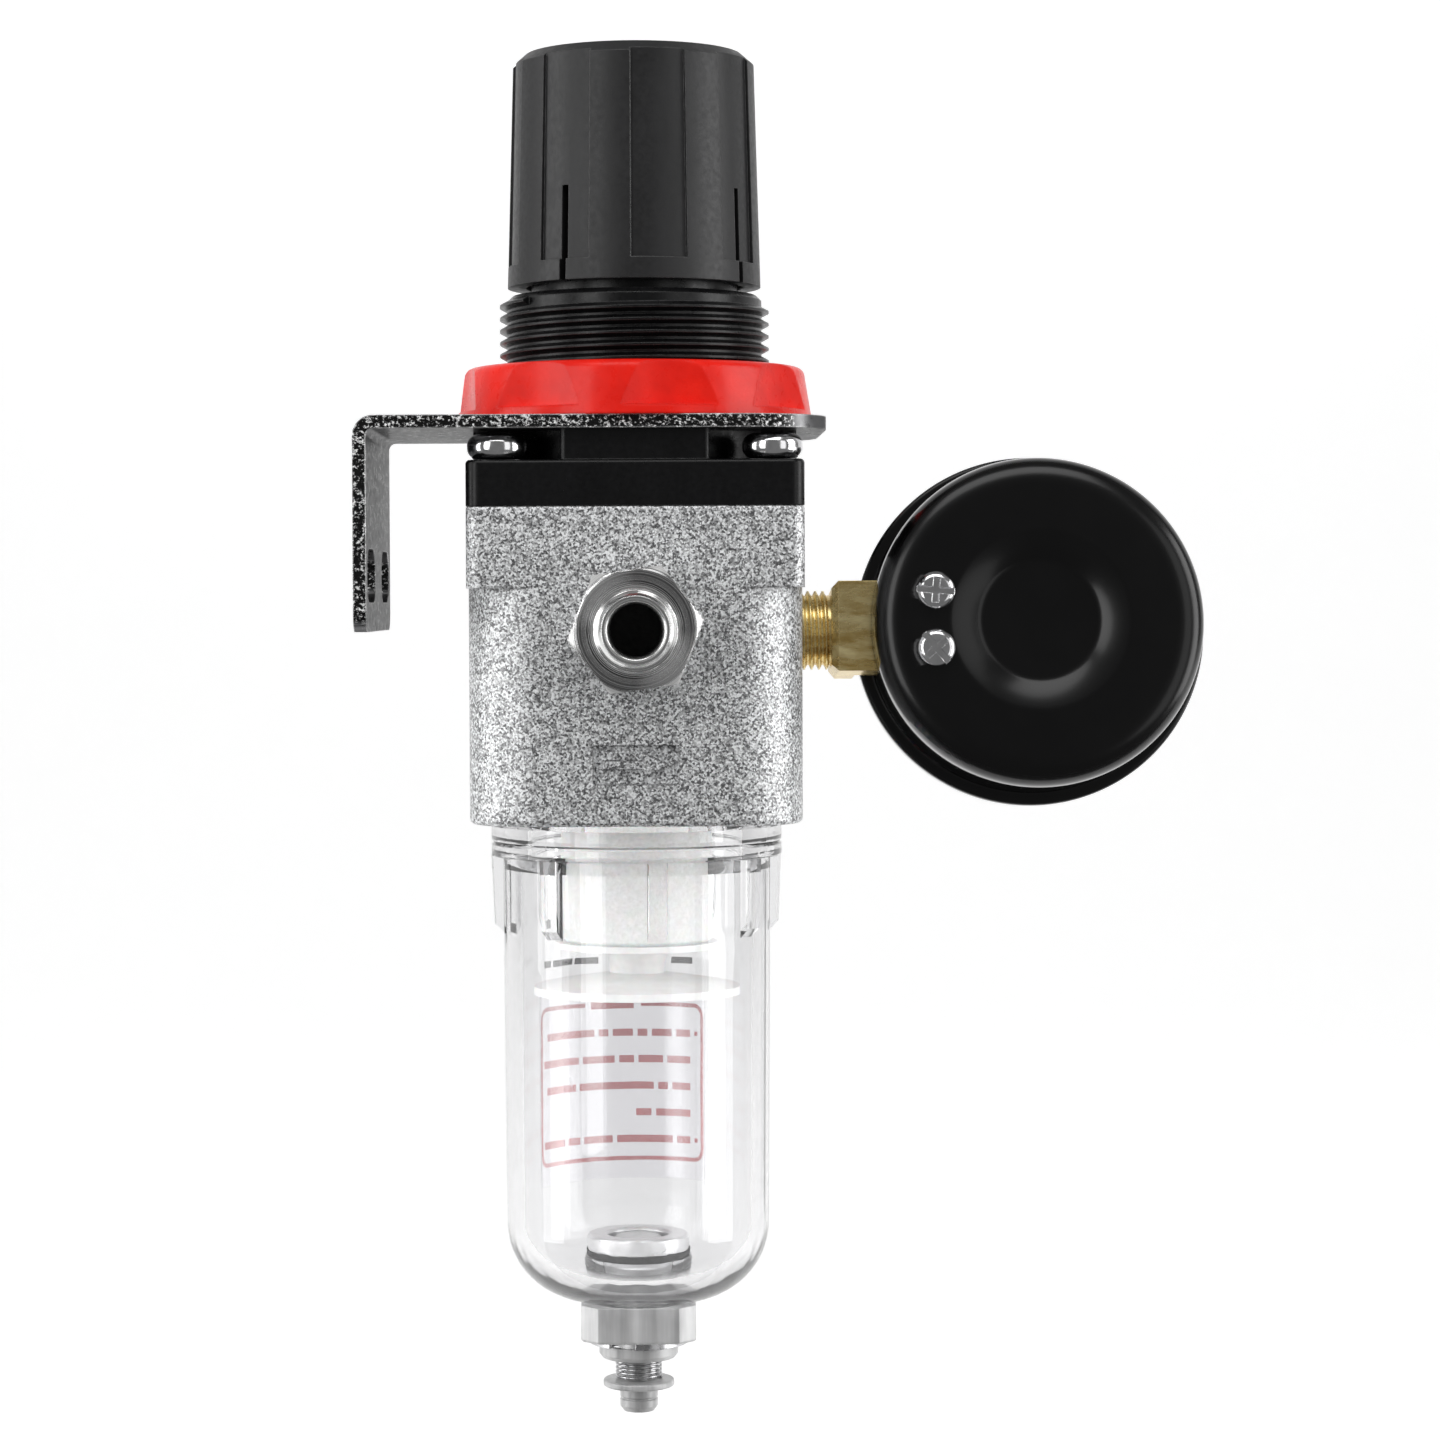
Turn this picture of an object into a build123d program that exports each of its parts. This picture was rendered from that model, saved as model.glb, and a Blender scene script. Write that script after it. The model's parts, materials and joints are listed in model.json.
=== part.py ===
from build123d import *
import os
from math import cos, radians, sin

# Compressed air filter regulator: a bracket hangs a square die-cast body, with a
# pressure regulator under a black knob above it, a filter in a clear bowl below
# it, and a pressure gauge screwed into its side.
#
# Frame: the origin is midway between the bracket's two slots, on the face that
# lies against the wall. +X points away from the wall, +Z is up. All heights
# called "level" below are measured from the axis of the air ports.

os.makedirs("parts", exist_ok=True)

# ---- Driving dimensions, mm -------------------------------------------------
axis_x = 33.2            # wall face to the vertical axis of the regulator
port_z = -6.5            # port axis below the bracket slots
fit = 0.05               # radial clearance of a turning or sliding fit

body_w = 40.0            # square body, across
body_top = 14.6          # level of the joint between body and bonnet
body_step = 4.9          # level where square corners become round ones
body_base = -23.3
block_corner = 1.6
barrel_corner = 8.5
port_depth = 10.0
port_male_r = 6.55       # quarter inch pipe thread, outside
port_female_r = 5.72     # quarter inch pipe thread, core hole
small_port_r = 4.9       # eighth inch pipe thread
small_male_r = 4.86
pipe_pitch = 0.907       # eighth inch pipe thread, 28 turns per inch
screw_place = 16.3       # bonnet screws, from the axis along X and along Y
screw_r = 1.45
screw_head_r = 3.6

flange_top = 20.05       # level of the ledges under the screw heads
lobe_w = 17.6
lobe_top = 23.7
boss_r = 17.5
sheet = 1.6              # bracket sheet thickness
bonnet_core_r = 15.6
bonnet_crest_r = 16.5
bonnet_pitch = 1.5
bonnet_top = 40.6
neck_r = 12.6
neck_top = 52.0

bracket_half = 21.0      # half the bracket's width, along Y
bracket_reach = 22.9     # from the axis to the bracket's free end
bracket_foot = -0.2      # level of the wall leg's lower edge
slot_w = 6.4
slot_length = 14.0
slot_spacing = 24.0

nut_base_r = 21.8
nut_rim_r = 20.7
nut_top = 31.8
grips = 8                # scallops on the nut and flats on the knob
grip_turn = 11.5         # their angle from the front, about the axis

knob_base = 41.7
knob_top = 70.0
knob_base_r = 15.5
knob_rim_r = 14.75
knob_flat = 0.45         # depth of the flats in the knob

bore_r = 15.6            # hole in the body that takes the bowl's neck
bowl_core_r = 14.9
bowl_crest_r = 15.45
neck_bore_r = 13.0
bowl_neck_top = -13.5
bowl_wall_r = 16.2
bowl_bore_r = 14.0
bowl_foot = -82.9
bowl_ribs = 8
rib_turn = 8.3

gauge_reach = 48.6       # regulator axis to gauge axis
gauge_clock = 6.3        # how far past square the gauge's thread tightens up
side_port_drop = 0.35    # the side ports sit this far under the main ports
case_r = 20.0
case_back = -12.0
case_rim = 1.5
stem_flat = 11.0
sector_teeth = 60
pinion_teeth = 12
gear_module = 0.25

# ---- Planes and axes ---------------------------------------------------------
LEVEL = Plane(origin=(axis_x, 0, port_z))
UPRIGHT = Axis((axis_x, 0, port_z), (0, 0, 1))
SECTION = Plane(origin=LEVEL.origin, x_dir=(1, 0, 0), z_dir=(0, -1, 0))
# Planes on the body's faces, with the normal pointing out of the body.
FRONT = Plane(origin=(axis_x, -body_w / 2, port_z), x_dir=(1, 0, 0), z_dir=(0, -1, 0))
BACK = Plane(origin=(axis_x, body_w / 2, port_z), x_dir=(-1, 0, 0), z_dir=(0, 1, 0))
side_z = port_z - side_port_drop
RIGHT = Plane(origin=(axis_x + body_w / 2, 0, side_z), x_dir=(0, 1, 0), z_dir=(1, 0, 0))
LEFT = Plane(origin=(axis_x - body_w / 2, 0, side_z), x_dir=(0, -1, 0), z_dir=(-1, 0, 0))
FRONT_SECTION = Plane(origin=FRONT.origin, x_dir=(1, 0, 0), z_dir=(0, 0, 1))
# The gauge's own frame: x towards the body, y up, z out of the dial.
dial_out = Vector(0, cos(radians(gauge_clock)), -sin(radians(gauge_clock)))
GAUGE = Plane(origin=(axis_x + gauge_reach, 0, side_z), x_dir=(-1, 0, 0), z_dir=dial_out)
GAUGE_SECTION = Plane(
    origin=GAUGE.origin, x_dir=GAUGE.x_dir, z_dir=GAUGE.x_dir.cross(GAUGE.z_dir)
)
GAUGE_AXIS = Axis(GAUGE.origin, GAUGE.z_dir)
STEM = Plane(origin=GAUGE.origin, x_dir=GAUGE.y_dir, z_dir=GAUGE.x_dir)

corners = [(x, y) for x in (-screw_place, screw_place) for y in (-screw_place, screw_place)]


# ---- Building helpers ---------------------------------------------------------
def save(builder, name):
    """Label a finished piece and write it as one STEP file."""
    builder.part.label = name
    export_step(builder.part, f"parts/{name}.step")


def tube(plane, low, high, radius, bore=0.0, at=(0, 0), mode=Mode.ADD):
    """Cylinder, or tube if it has a bore, between two offsets from a plane."""
    with BuildSketch(plane.offset(low)) as ring:
        with Locations(at):
            Circle(radius)
            if bore:
                Circle(bore, mode=Mode.SUBTRACT)
    extrude(ring.sketch, amount=high - low, mode=mode)


def turned(section, axis, points, arc=360, mode=Mode.ADD):
    """Solid turned from an outline of (radius, height) points."""
    with BuildSketch(section) as half:
        with BuildLine():
            Polyline(*points, close=True)
        make_face()
    revolve(half.sketch, axis, revolution_arc=arc, mode=mode)


def swept_helix(plane, radius, pitch, start, length):
    """Right-hand helix round a plane's normal, and the plane across its start."""
    centre = plane.origin + plane.z_dir * start
    with BuildLine() as path:
        Helix(pitch=pitch, height=length, radius=radius, center=centre, direction=plane.z_dir)
    first = path.line @ 0
    across = Plane(origin=first, x_dir=(first - centre).normalized(), z_dir=path.line % 0)
    return path.line, across


def thread(plane, core_r, crest_r, pitch, start, length):
    """Helical thread ridge standing on a core, rooted a little inside it."""
    root, flank, crest = 0.15, 0.46 * pitch, 0.09 * pitch
    path, across = swept_helix(plane, core_r, pitch, start, length)
    tall = crest_r - core_r
    with BuildSketch(across) as tooth:
        with BuildLine():
            Polyline((-root, -flank), (tall, -crest), (tall, crest), (-root, flank), close=True)
        make_face()
    sweep(tooth.sketch, path=path, is_frenet=True)


def coil_spring(plane, radius, wire_r, pitch, low, high):
    """Coil spring whose wire stays between two offsets from a plane."""
    path, across = swept_helix(plane, radius, pitch, low + wire_r, high - low - 2 * wire_r)
    with BuildSketch(across) as wire:
        Circle(wire_r)
    sweep(wire.sketch, path=path, is_frenet=True)


def turned_plane(angle):
    """Half-section plane of the regulator, at an angle from the front towards +X."""
    outward = Vector(sin(radians(angle)), -cos(radians(angle)), 0)
    return Plane(origin=LEVEL.origin, x_dir=outward, z_dir=outward.cross(LEVEL.z_dir))


def spun(plane, centre, angle):
    """A plane moved to a point in itself and turned about its normal."""
    along = plane.x_dir * cos(radians(angle)) + plane.y_dir * sin(radians(angle))
    return Plane(origin=plane.from_local_coords((*centre, 0)), x_dir=along, z_dir=plane.z_dir)


# ---- Body ---------------------------------------------------------------------
def flow_mark(face):
    """Sunk panel with a raised arrow, under a port."""
    mark_level, panel_w, panel_h, sunk = -16.0, 10.2, 4.6, 0.8
    with BuildSketch(face) as panel:
        with Locations((0, mark_level)):
            RectangleRounded(panel_w, panel_h, 0.3)
    extrude(panel.sketch, amount=-sunk, mode=Mode.SUBTRACT)
    with BuildSketch(face.offset(-sunk)) as arrow:
        with BuildLine():
            Polyline(
                (-4, mark_level - 0.5), (0.8, mark_level - 0.5), (0.8, mark_level - 1.5),
                (3.8, mark_level), (0.8, mark_level + 1.5), (0.8, mark_level + 0.5),
                (-4, mark_level + 0.5), close=True,
            )
        make_face()
    extrude(arrow.sketch, amount=0.8 * sunk)


chamber_r = 6.5          # valve chamber under the seat
seat_level = 2.5
clamp_r = 18.7           # recess for the diaphragm's rim
diaphragm_low, diaphragm_high = 14.0, 15.2
post_r = 9.2             # post in the bowl's hole that carries the filter
post_base = -15.0
cavity_top = -12.0
outlet_well = 9.5        # floor of the chamber under the diaphragm

with BuildPart() as body:
    with BuildSketch(LEVEL.offset(body_base)):
        RectangleRounded(body_w, body_w, barrel_corner)
    extrude(amount=body_step - body_base)
    with BuildSketch(LEVEL.offset(body_step)):
        RectangleRounded(body_w, body_w, block_corner)
    extrude(amount=body_top - body_step)
    fillet(body.faces().sort_by(Axis.Z)[0].edges(), 0.7)
    fillet(body.faces().filter_by(Plane.XY).sort_by(Axis.Z)[-1].edges(), 0.4)
    # The bowl's hole, with the filter's post standing in it.
    tube(LEVEL, body_base, post_base, bore_r, mode=Mode.SUBTRACT)
    tube(LEVEL, post_base, cavity_top, bore_r, post_r, mode=Mode.SUBTRACT)
    # Valve chamber, seat and the two steps of the outlet chamber.
    tube(LEVEL, post_base, seat_level, chamber_r, mode=Mode.SUBTRACT)
    tube(LEVEL, seat_level, 4.5, 3.2, mode=Mode.SUBTRACT)
    tube(LEVEL, 4.5, outlet_well, 9.0, mode=Mode.SUBTRACT)
    tube(LEVEL, outlet_well, diaphragm_low, 14.5, mode=Mode.SUBTRACT)
    tube(LEVEL, diaphragm_low, body_top, clamp_r, mode=Mode.SUBTRACT)
    # Ports, and the drilled ways from them to the chambers.
    tube(FRONT, -port_depth, 0, port_male_r + fit, mode=Mode.SUBTRACT)
    tube(BACK, -port_depth, 0, port_female_r, mode=Mode.SUBTRACT)
    tube(RIGHT, -8, 0, small_port_r, mode=Mode.SUBTRACT)
    tube(LEFT, -8, 0, small_port_r, mode=Mode.SUBTRACT)
    tube(LEVEL, cavity_top, 0, 2.2, at=(0, -13), mode=Mode.SUBTRACT)
    tube(LEVEL, 0, outlet_well, 1.9, at=(0, 12.3), mode=Mode.SUBTRACT)
    tube(LEVEL, 0, outlet_well, 1.2, at=(13.0, 0), mode=Mode.SUBTRACT)
    for place in corners:
        tube(LEVEL, 5.6, body_top, screw_r + fit, at=place, mode=Mode.SUBTRACT)
    flow_mark(FRONT)
    flow_mark(BACK)
save(body, "body")

# ---- Bonnet, bracket and panel nut ---------------------------------------------
spring_room_r = 13.2
spring_room_top = 36.0
screw_bore_r = 4.3
key_w = 2.0              # ribs that stop the spring seat from turning
with BuildPart() as bonnet:
    with BuildSketch(LEVEL.offset(body_top)):
        RectangleRounded(body_w, body_w, block_corner)
    extrude(amount=flange_top - body_top)
    fillet(bonnet.faces().filter_by(Plane.XY).sort_by(Axis.Z)[-1].edges(), 0.5)
    with BuildSketch(LEVEL.offset(flange_top - 0.6)):
        RectangleRounded(lobe_w, body_w - 1.0, 0.6)
        RectangleRounded(body_w - 1.0, lobe_w, 0.6)
        Circle(boss_r)
    extrude(amount=lobe_top - flange_top + 0.6)
    tube(LEVEL, lobe_top, bonnet_top, bonnet_core_r)
    chamfer(bonnet.faces().sort_by(Axis.Z)[-1].edges(), 0.6)
    tube(LEVEL, bonnet_top, neck_top, neck_r)
    thread(LEVEL, bonnet_core_r, bonnet_crest_r, bonnet_pitch, 25.15, 14.4)
    tube(LEVEL, body_top, diaphragm_high, clamp_r, mode=Mode.SUBTRACT)
    tube(LEVEL, diaphragm_high, spring_room_top, spring_room_r, mode=Mode.SUBTRACT)
    tube(LEVEL, spring_room_top, neck_top, screw_bore_r, mode=Mode.SUBTRACT)
    tube(LEVEL, 43.0, neck_top, 10.8, 6.8, mode=Mode.SUBTRACT)
    for side in (-1, 1):
        with BuildSketch(LEVEL.offset(diaphragm_high + 4)):
            with Locations((side * (spring_room_r - 0.4), 0)):
                Rectangle(1.6, key_w)
        extrude(amount=spring_room_top - diaphragm_high - 4)
    for place in corners:
        tube(LEVEL, body_top, flange_top, screw_r + 0.15, at=place, mode=Mode.SUBTRACT)
    # Vent to the open air, out through the back of the flange's raised lobe.
    tube(BACK, -8, 0, 0.8, at=(0, 21.6), mode=Mode.SUBTRACT)
save(bonnet, "bonnet")

bracket_top = lobe_top + sheet
with BuildPart() as bracket:
    with BuildSketch(Plane.XZ.offset(-bracket_half)):
        with BuildLine():
            Polyline(
                (0, port_z + bracket_foot), (0, port_z + bracket_top),
                (axis_x + bracket_reach, port_z + bracket_top),
                (axis_x + bracket_reach, port_z + lobe_top),
                (sheet, port_z + lobe_top), (sheet, port_z + bracket_foot), close=True,
            )
        make_face()
    extrude(amount=2 * bracket_half)
    bend = bracket.edges().filter_by(Axis.Y).group_by(Axis.X)
    fillet(bend[0].sort_by(Axis.Z)[-1], 2.5)
    fillet(bend[1].sort_by(Axis.Z)[-1], 0.9)
    fillet(bracket.edges().filter_by(Axis.Z).group_by(Axis.X)[-1], 10.0)
    fillet(bracket.edges().filter_by(Axis.X).group_by(Axis.Z)[0], 2.6)
    tube(LEVEL, lobe_top, bracket_top, bonnet_crest_r + 0.2, mode=Mode.SUBTRACT)
    with BuildSketch(Plane.YZ):
        with Locations((-slot_spacing / 2, 0), (slot_spacing / 2, 0)):
            SlotOverall(slot_length, slot_w)
    extrude(amount=sheet, mode=Mode.SUBTRACT)
save(bracket, "bracket")

ledge_top = bracket_top + 1.1
with BuildPart() as panel_nut:
    turned(SECTION, UPRIGHT, [
        (0, bracket_top), (nut_base_r, bracket_top), (nut_base_r - 0.2, ledge_top),
        (nut_rim_r, nut_top), (0, nut_top),
    ])
    fillet(panel_nut.faces().sort_by(Axis.Z)[-1].edges(), 1.1)
    with BuildSketch(LEVEL.offset(ledge_top)):
        with PolarLocations(60.3, grips, start_angle=grip_turn - 90):
            Circle(40.0)
    extrude(amount=nut_top, mode=Mode.SUBTRACT)
    tube(LEVEL, bracket_top, nut_top, bonnet_crest_r + fit, mode=Mode.SUBTRACT)
save(panel_nut, "panel_nut")

with BuildPart() as bonnet_screws:
    for place in corners:
        head = LEVEL.offset(flange_top)
        tube(head, -13, 0, screw_r, at=place)
        tube(head, 0, 3.1, screw_head_r, at=place)
    rims = bonnet_screws.edges().filter_by(GeomType.CIRCLE).group_by(SortBy.RADIUS)[-1]
    fillet(rims, 1.4)
    for place in corners:
        with BuildSketch(LEVEL.offset(flange_top + 1.8)):
            with Locations(Location((*place, 0), (0, 0, 30))):
                Rectangle(3.4, 0.7)
                Rectangle(0.7, 3.4)
        extrude(amount=2.0, mode=Mode.SUBTRACT)
save(bonnet_screws, "bonnet_screws")

# ---- Knob and adjusting screw ----------------------------------------------------
with BuildPart() as knob:
    turned(SECTION, UPRIGHT, [
        (0, knob_base), (knob_base_r, knob_base), (knob_rim_r, knob_top - 1.3),
        (knob_rim_r - 1.5, knob_top), (11.6, knob_top), (11.2, knob_top - 0.4),
        (0, knob_top - 0.4),
    ])
    flat_arc = 26.0
    for i in range(grips):
        start = grip_turn - flat_arc / 2 + i * 360 / grips
        turned(turned_plane(start), UPRIGHT, [
            (knob_base_r - knob_flat - 0.06, knob_base + 2.5), (20, knob_base + 2.5),
            (20, knob_top + 1), (knob_rim_r - knob_flat, knob_top + 1),
        ], arc=flat_arc, mode=Mode.SUBTRACT)
    skirt_bore_r = 13.3
    hub_base = 55.0
    tube(LEVEL, knob_base, hub_base, skirt_bore_r, mode=Mode.SUBTRACT)
    tube(LEVEL, hub_base, 66.5, skirt_bore_r, 6.4, mode=Mode.SUBTRACT)
    with BuildSketch(LEVEL.offset(hub_base)):
        RegularPolygon(3.5 + fit, 6, major_radius=False)
    extrude(amount=9.0, mode=Mode.SUBTRACT)
    # Four slits let the skirt spring over the neck's lip.
    with BuildSketch(LEVEL.offset(knob_base)):
        with PolarLocations(14.5, 4, start_angle=grip_turn - 45 - 90):
            Rectangle(5.0, 0.9)
    extrude(amount=11.3, mode=Mode.SUBTRACT)
save(knob, "knob")

with BuildPart() as adjusting_screw:
    tube(LEVEL, 20.0, 34.5, 3.6)
    thread(LEVEL, 3.6, 4.0, 1.0, 21.0, 13.0)
    tube(LEVEL, 34.5, spring_room_top, 6.0)
    tube(LEVEL, spring_room_top, hub_base - 1, screw_bore_r - fit)
    with BuildSketch(LEVEL.offset(hub_base - 1)):
        RegularPolygon(3.5, 6, major_radius=False)
    extrude(amount=9.0)
    chamfer(adjusting_screw.faces().sort_by(Axis.Z)[0].edges(), 0.4)
save(adjusting_screw, "adjusting_screw")

with BuildPart() as screw_retainer:
    tube(LEVEL, neck_top, neck_top + 0.8, 6.2, screw_bore_r - fit + 0.02)
    with BuildSketch(LEVEL.offset(neck_top)):
        with Locations((5, 0)):
            Rectangle(4, 5)
    extrude(amount=0.8, mode=Mode.SUBTRACT)
save(screw_retainer, "screw_retainer")

seat_low, seat_high = 30.5, 33.5
plate_top = 16.6
with BuildPart() as spring_seat:
    tube(LEVEL, seat_low, seat_high, spring_room_r - 0.4)
    tube(LEVEL, seat_low - 2.5, seat_low, 6.5)
    tube(LEVEL, seat_low - 2.5, seat_high, 4.0 + fit, mode=Mode.SUBTRACT)
    with BuildSketch(LEVEL.offset(seat_low)):
        with Locations((-spring_room_r, 0), (spring_room_r, 0)):
            Rectangle(3.0, key_w + 0.5)
    extrude(amount=seat_high - seat_low, mode=Mode.SUBTRACT)
save(spring_seat, "spring_seat")

with BuildPart() as range_spring:
    coil_spring(LEVEL, 9.3, 1.0, 3.0, plate_top + 0.02, seat_low - 0.02)
save(range_spring, "range_spring")

# ---- Diaphragm and valve -----------------------------------------------------------
hub_r = 2.1
hub_low = 12.4
with BuildPart() as diaphragm:
    turned(SECTION, UPRIGHT, [
        (hub_r + fit, diaphragm_low), (12.0, diaphragm_low), (12.6, diaphragm_low - 0.7),
        (13.7, diaphragm_low - 0.7), (14.3, diaphragm_low), (clamp_r - 0.2, diaphragm_low),
        (clamp_r - 0.2, diaphragm_high), (hub_r + fit, diaphragm_high),
    ])
save(diaphragm, "diaphragm")

with BuildPart() as diaphragm_plate:
    turned(SECTION, UPRIGHT, [
        (0.8, hub_low), (hub_r, hub_low), (hub_r, diaphragm_high), (11.0, diaphragm_high),
        (11.0, plate_top), (7.6, plate_top), (7.2, 18.2), (3.0, 18.2), (3.0, 16.8),
        (0.8, 16.8),
    ])
save(diaphragm_plate, "diaphragm_plate")

with BuildPart() as relief_washer:
    tube(LEVEL, 12.8, diaphragm_low, 6.0, hub_r)
    chamfer(relief_washer.faces().sort_by(Axis.Z)[0].edges(), 0.3)
save(relief_washer, "relief_washer")

stem_r = 1.2
disc_low, disc_high = 0.3, 1.5
with BuildPart() as valve_stem:
    turned(SECTION, UPRIGHT, [
        (0, -9.0), (stem_r, -9.0), (stem_r, disc_low), (5.2, disc_low), (5.2, disc_high),
        (stem_r, disc_high), (stem_r, hub_low - 0.4), (0.4, hub_low + 0.4), (0, hub_low + 0.4),
    ])
save(valve_stem, "valve_stem")

with BuildPart() as valve_seal:
    tube(LEVEL, disc_high, seat_level, 5.0, stem_r)
save(valve_seal, "valve_seal")

guide_low, guide_high = post_base, -6.5
stud_r = 2.0
with BuildPart() as valve_guide:
    tube(LEVEL, guide_low, guide_high, chamber_r - fit)
    tube(LEVEL, guide_low - 1.2, guide_low, 5.6)
    tube(LEVEL, -10.8, guide_high, stem_r + fit, mode=Mode.SUBTRACT)
    tube(LEVEL, guide_low - 1.2, -12.0, stud_r, mode=Mode.SUBTRACT)
    for side in ((4.0, 0), (0, 4.0), (-4.0, 0), (0, -4.0)):
        tube(LEVEL, guide_low - 1.2, guide_high, 1.1, at=side, mode=Mode.SUBTRACT)
save(valve_guide, "valve_guide")

with BuildPart() as valve_spring:
    coil_spring(LEVEL, 3.6, 0.35, 1.2, guide_high + 0.02, disc_low - 0.02)
save(valve_spring, "valve_spring")

# ---- Filter -------------------------------------------------------------------------
filter_top = guide_low - 1.2
filter_base = -38.4
filter_r = 9.3
vanes = 14
with BuildPart() as swirl_ring:
    tube(LEVEL, filter_top, guide_low, post_r, 5.6 + fit)
    for i in range(vanes):
        turn = 360 / vanes * i
        with BuildSketch(
            Plane(LEVEL.origin, x_dir=(0, 0, 1), z_dir=(cos(radians(turn)), sin(radians(turn)), 0))
            .offset(8.8)
        ):
            with Locations(Location((filter_top + 0.6, 0, 0), (0, 0, 35))):
                Rectangle(0.8, 3.6)
        extrude(amount=3.9)
    tube(LEVEL, filter_top - 3, guide_low, filter_r + 4, neck_bore_r - 0.3, mode=Mode.SUBTRACT)
    tube(LEVEL, guide_low, guide_low + 3, 14, mode=Mode.SUBTRACT)
    tube(LEVEL, filter_top - 3, filter_top, filter_r + 0.1, mode=Mode.SUBTRACT)
save(swirl_ring, "swirl_ring")

with BuildPart() as filter_element:
    tube(LEVEL, filter_base, filter_top, filter_r, 6.0)
    chamfer(filter_element.edges().filter_by(GeomType.CIRCLE).group_by(SortBy.RADIUS)[-1], 0.4)
save(filter_element, "filter_element")

baffle_r = 12.7
baffle_low = -44.8       # level of the baffle's rim
with BuildPart() as baffle:
    turned(SECTION, UPRIGHT, [
        (0, baffle_low + 1.3), (0, -12.2), (stud_r - fit, -12.2), (stud_r - fit, filter_base),
        (filter_r + 0.7, filter_base), (filter_r + 0.7, filter_base - 0.8),
        (3.6, filter_base - 1.3), (3.4, baffle_low + 2.5), (baffle_r, baffle_low + 1.0),
        (baffle_r, baffle_low), (baffle_r - 1.0, baffle_low), (2.5, baffle_low + 1.3),
    ])
save(baffle, "baffle")

# ---- Bowl ---------------------------------------------------------------------------
curve_level = -73.2
curve_r = 6.9            # radius where the bowl's round bottom meets its flat foot
drain_hole_r = 4.6
pad_level = -78.0        # floor that the drain's gasket sits on
groove_low, groove_high = -22.9, -21.2
with BuildPart() as bowl:
    with BuildSketch(SECTION):
        with BuildLine():
            Polyline((drain_hole_r, pad_level), (6.7, pad_level), (curve_r, -79.8))
            EllipticalCenterArc((curve_r, curve_level), bowl_bore_r - curve_r, 6.6, 270)
            Polyline(
                (bowl_bore_r, curve_level), (14.2, -29.5), (neck_bore_r, -27.5),
                (neck_bore_r, bowl_neck_top), (bowl_core_r - 0.3, bowl_neck_top),
                (bowl_core_r, bowl_neck_top - 0.3), (bowl_core_r, groove_high),
                (13.9, groove_high), (13.9, groove_low), (bowl_core_r, groove_low),
                (bowl_core_r, body_base), (16.3, body_base), (17.9, body_base - 0.8),
                (17.9, -25.9), (17.6, -26.15), (17.9, -26.4), (17.9, -27.6), (17.7, -27.8),
                (16.5, -27.8), (bowl_wall_r, curve_level),
            )
            EllipticalCenterArc((curve_r, curve_level), bowl_wall_r - curve_r, 9.4, 270)
            Polyline(
                (curve_r, curve_level - 9.4), (curve_r, bowl_foot), (drain_hole_r, bowl_foot),
                (drain_hole_r, pad_level),
            )
        make_face()
    revolve(axis=UPRIGHT)
    thread(LEVEL, bowl_core_r, bowl_crest_r, 1.8, -20.2, 5.6)
    for i in range(bowl_ribs):
        with BuildSketch(turned_plane(rib_turn + i * 360 / bowl_ribs)) as rib:
            with BuildLine():
                Polyline(
                    (15.6, -27.7), (17.9, -27.7), (17.55, -36.2), (16.3, -37.4),
                    (15.6, -37.4), close=True,
                )
            make_face()
        extrude(rib.sketch, amount=1.15, both=True)
save(bowl, "bowl")

with BuildPart() as bowl_seal:
    with BuildSketch(SECTION):
        with Locations((14.74, (groove_low + groove_high) / 2)):
            Circle(0.82)
    revolve(axis=UPRIGHT)
save(bowl_seal, "bowl_seal")

label_arc = 96.5
label_middle = 12.25     # its middle, turned from the back towards the bracket's leg
label_t = 0.12
with BuildPart() as bowl_label:
    turned(turned_plane(180 + label_middle - label_arc / 2), UPRIGHT, [
        (16.23, -70.2), (16.23 + label_t, -70.2), (16.39 + label_t, -45.9), (16.39, -45.9),
    ], arc=label_arc)
save(bowl_label, "bowl_label")

# ---- Drain --------------------------------------------------------------------------
shank_r = 4.5
shank_base = -88.4
drain_seat = -76.9
cup_r = 3.8              # recess in the bush that takes the drain's seal
cup_top = -74.6
drain_bore_r = 1.8
cap_spigot_r = 3.4
with BuildPart() as drain_bush:
    turned(SECTION, UPRIGHT, [
        (drain_bore_r, drain_seat), (cup_r, drain_seat), (cup_r, cup_top - 0.3),
        (cup_r + 0.3, cup_top), (6.0, cup_top), (6.3, cup_top - 0.3),
        (6.3, -77.0), (shank_r, -77.0), (shank_r, shank_base), (cap_spigot_r + fit, shank_base),
        (cap_spigot_r + fit, -85.0), (drain_bore_r, -85.0),
    ])
save(drain_bush, "drain_bush")

with BuildPart() as drain_gasket:
    tube(LEVEL, pad_level, -77.0, 6.5, shank_r + fit)
save(drain_gasket, "drain_gasket")

drain_nut_w = 14.1
drain_nut_base = -87.35
with BuildPart() as drain_nut:
    with BuildSketch(LEVEL.offset(drain_nut_base)) as nut_outline:
        Rectangle(drain_nut_w, drain_nut_w)
        chamfer(nut_outline.vertices(), 2.1)
        Circle(shank_r + fit, mode=Mode.SUBTRACT)
    extrude(amount=bowl_foot - drain_nut_base)
    chamfer(drain_nut.faces().sort_by(Axis.Z)[0].outer_wire().edges(), 0.25)
save(drain_nut, "drain_nut")

with BuildPart() as drain_clip:
    tube(LEVEL, -88.25, -87.45, 6.1, shank_r + fit)
    with BuildSketch(LEVEL.offset(-88.25)) as clip_mouth:
        with Locations(Location((0, 0, 0), (0, 0, 250))):
            with Locations((5.4, 0)):
                Rectangle(3.2, 3.4)
    extrude(clip_mouth.sketch, amount=0.8, mode=Mode.SUBTRACT)
save(drain_clip, "drain_clip")

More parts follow.
